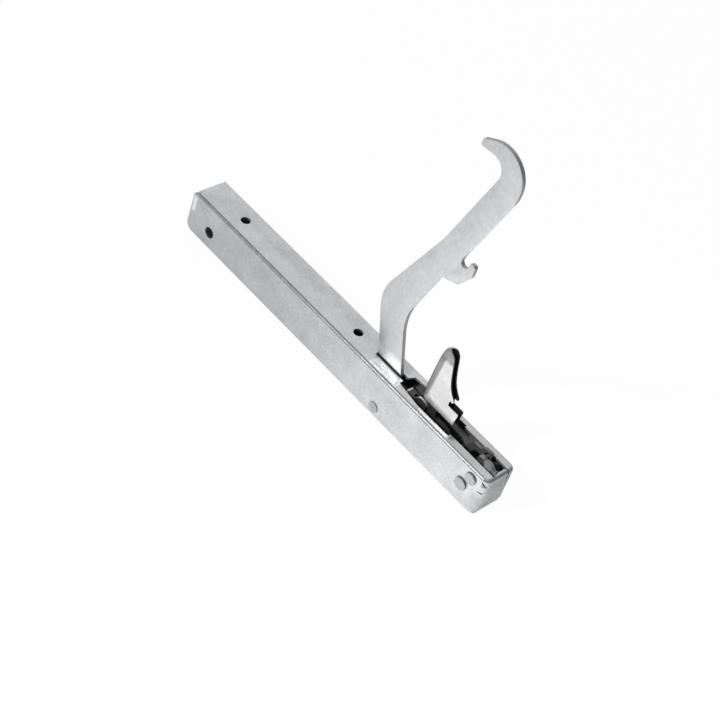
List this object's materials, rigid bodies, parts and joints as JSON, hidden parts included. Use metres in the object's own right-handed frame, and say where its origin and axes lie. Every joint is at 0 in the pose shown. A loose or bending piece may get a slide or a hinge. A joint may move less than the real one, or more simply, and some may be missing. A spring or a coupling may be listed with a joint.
{
  "type": "oven door hinge",
  "caption": "Sprung oven door hinge: folded steel case with a hooked arm plate, a folded catch, a drive strap, a rod and a compression spring.",
  "frame": {"origin": "underside of the case, at the middle of its length and width", "axes": "+X along the case towards the pivot rivet, +Z out of the slotted face, along the arm"},
  "size_m": [0.194, 0.0202, 0.1532],
  "materials": {
    "zinc_case": "satin",
    "arm_steel": "satin",
    "catch_steel": "satin",
    "rivet_steel": "satin",
    "inner_steel": "satin",
    "spring_steel": "satin"
  },
  "bodies": {
    "case": {"case_channel": "zinc_case", "pivot_rivet": "rivet_steel", "stop_rivet": "rivet_steel", "cross_rivet": "rivet_steel", "near_spacer": "inner_steel", "strap_washer": "inner_steel", "far_spacer": "inner_steel", "cross_spacer": "inner_steel", "spring_seat": "inner_steel", "spring_washer": "inner_steel", "spring": "spring_steel"},
    "arm": {"arm": "arm_steel", "drive_pin": "inner_steel", "leg_clip": "catch_steel", "clip_pin": "rivet_steel", "catch_rivet": "rivet_steel"},
    "catch": {"catch": "catch_steel"},
    "tie": {"tie_strap": "inner_steel", "link_pin": "inner_steel", "tie_rod": "inner_steel", "spring_cup": "inner_steel", "rod_nut": "inner_steel", "jam_nut": "inner_steel"}
  },
  "joints": [
    {"name": "arm_hinge", "type": "hinge", "parent": "case", "child": "arm", "pos_m": [0.0888, 0, 0.016], "axis": [0, 1, 0], "range_deg": [0, 90], "stiffness_Nm_per_rad": 0.05, "springref_deg": -34.38},
    {"name": "catch_flip", "type": "hinge", "parent": "arm", "child": "catch", "pos_m": [0.053, 0, 0.0262], "axis": [0, 1, 0], "range_deg": [0, 60]},
    {"name": "tie_slide", "type": "slide", "parent": "case", "child": "tie", "axis": [1, 0, 0], "range_m": [0, 0.0066], "deforming": ["spring"]}
  ],
  "couplings": [
    {"joint": "tie_slide", "follows": "arm_hinge", "m_per_rad": 0.0041415}
  ]
}
